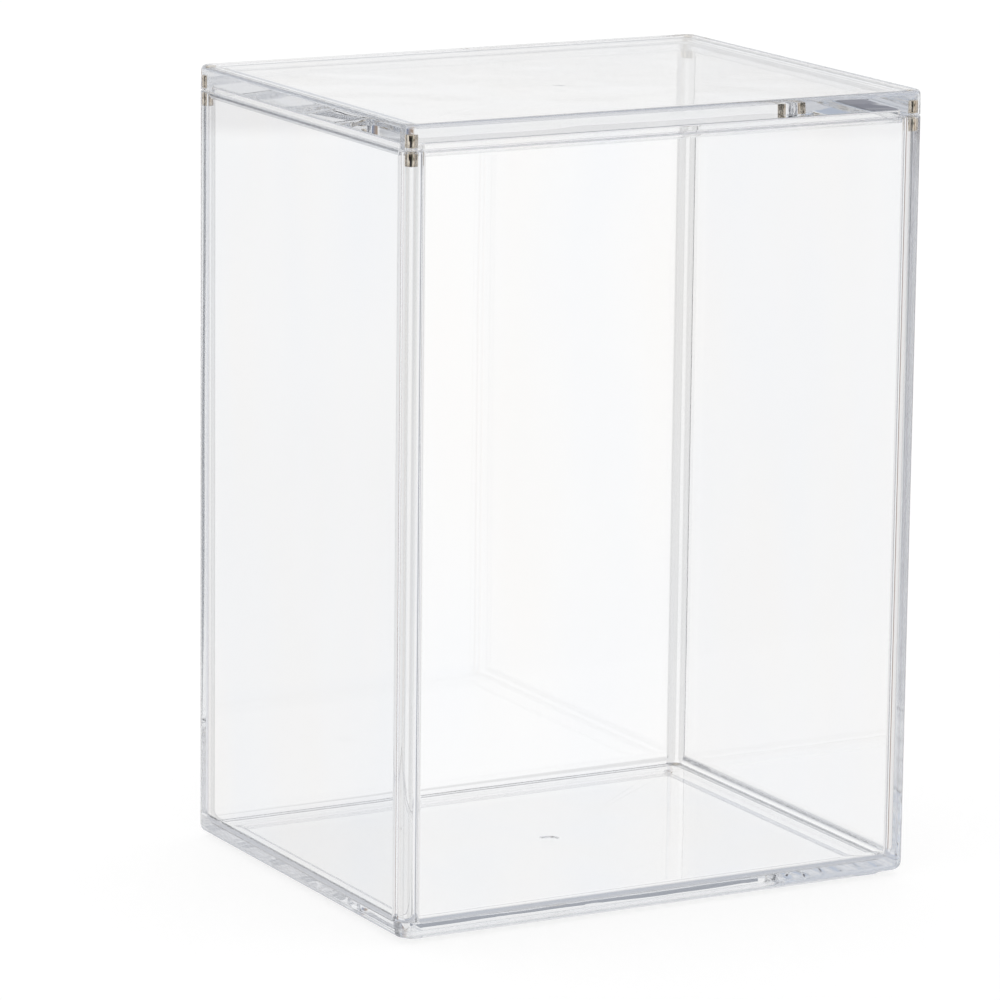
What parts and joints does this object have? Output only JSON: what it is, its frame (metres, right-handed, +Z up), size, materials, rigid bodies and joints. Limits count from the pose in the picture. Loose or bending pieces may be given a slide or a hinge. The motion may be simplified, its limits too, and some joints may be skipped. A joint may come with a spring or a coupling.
{
  "type": "clear display box with magnetic lid",
  "caption": "Tall clear rectangular box with thin walls and rounded corners, closed by a thick lift-off lid that magnets in the corner posts hold shut.",
  "frame": {"origin": "on the ground, in the middle of the stacking foot under the closed box", "axes": "+Z up through the lid, +X along the wide side, +Y from the front wide face towards the back one"},
  "size_m": [0.126, 0.1, 0.175],
  "materials": {
    "clear_plastic": "polished, water-clear",
    "nickel": "nickel plated magnet"
  },
  "bodies": {
    "base": {"base_moulding": "clear_plastic", "base_magnet_front_left": "nickel", "base_magnet_front_right": "nickel", "base_magnet_back_right": "nickel", "base_magnet_back_left": "nickel"},
    "lid": {"lid_moulding": "clear_plastic", "lid_magnet_front_left": "nickel", "lid_magnet_front_right": "nickel", "lid_magnet_back_right": "nickel", "lid_magnet_back_left": "nickel"}
  },
  "joints": [
    {"name": "lid_lift", "type": "slide", "parent": "base", "child": "lid", "axis": [0, 0, 1], "range_m": [0, 0.12]}
  ]
}
